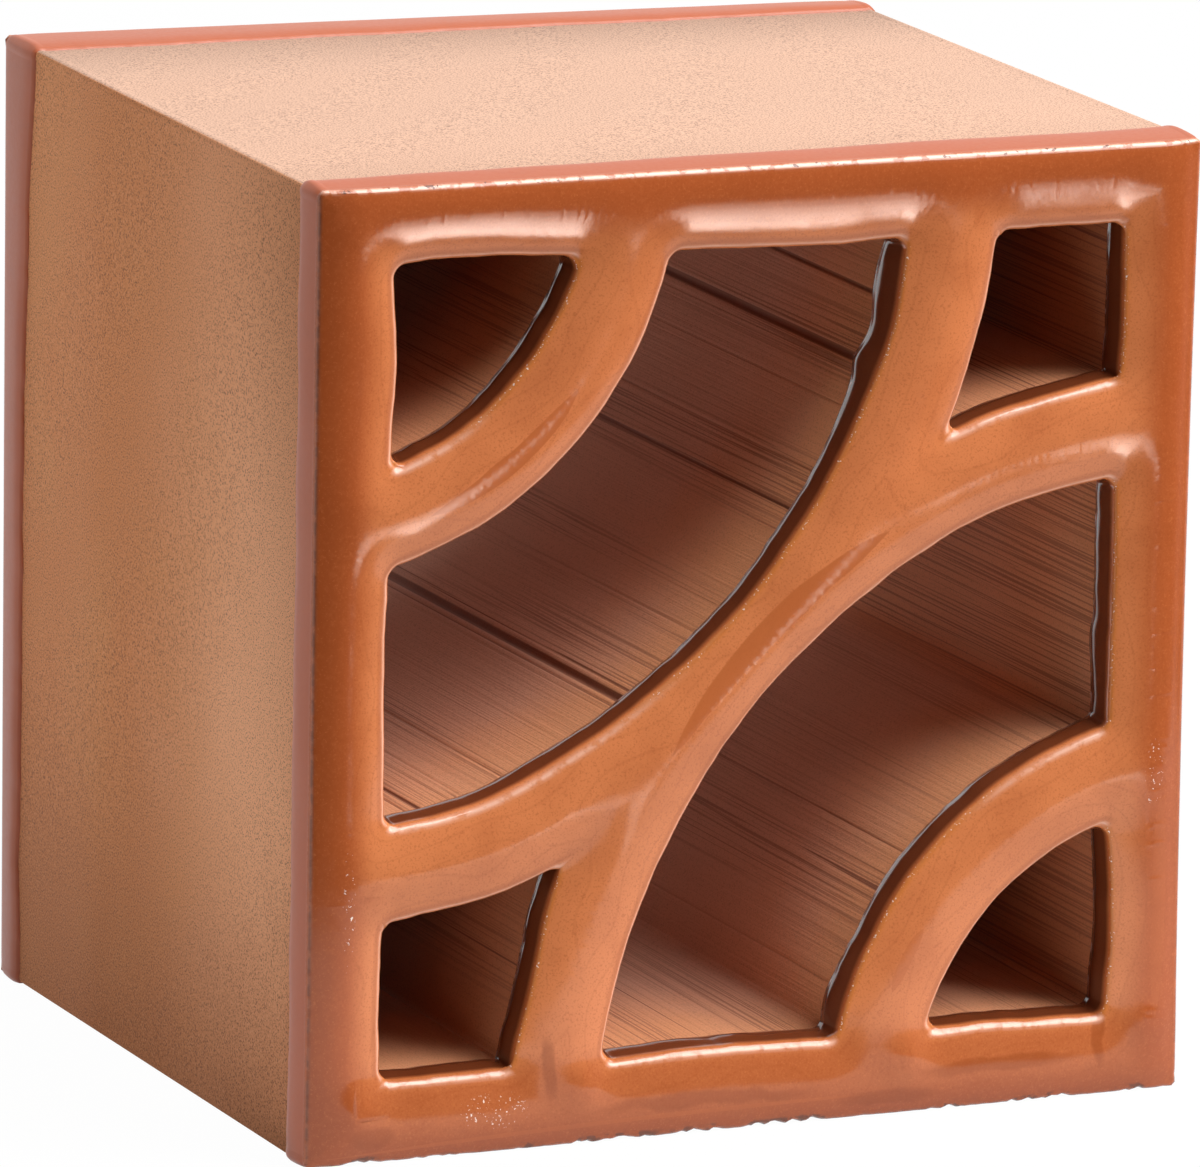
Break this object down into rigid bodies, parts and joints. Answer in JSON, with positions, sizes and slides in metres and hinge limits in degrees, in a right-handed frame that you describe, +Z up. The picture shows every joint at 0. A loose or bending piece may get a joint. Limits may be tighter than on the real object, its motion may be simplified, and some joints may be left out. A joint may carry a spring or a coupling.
{
  "type": "glazed fired-clay breeze block",
  "caption": "Pierced screen block of fired clay with glazed front and back, for a wall that lets air and light through.",
  "frame": {"origin": "middle of the bed face that the block stands on", "axes": "+Z up from the bed, the front pierced face to -Y, +X to the right seen from the front"},
  "size_m": [0.2, 0.173, 0.204],
  "materials": {
    "clay": "bare fired clay on the sides, thick glossy brown-orange glaze on the pierced faces"
  },
  "bodies": {
    "root": {"breeze_block": "clay"}
  },
  "joints": []
}
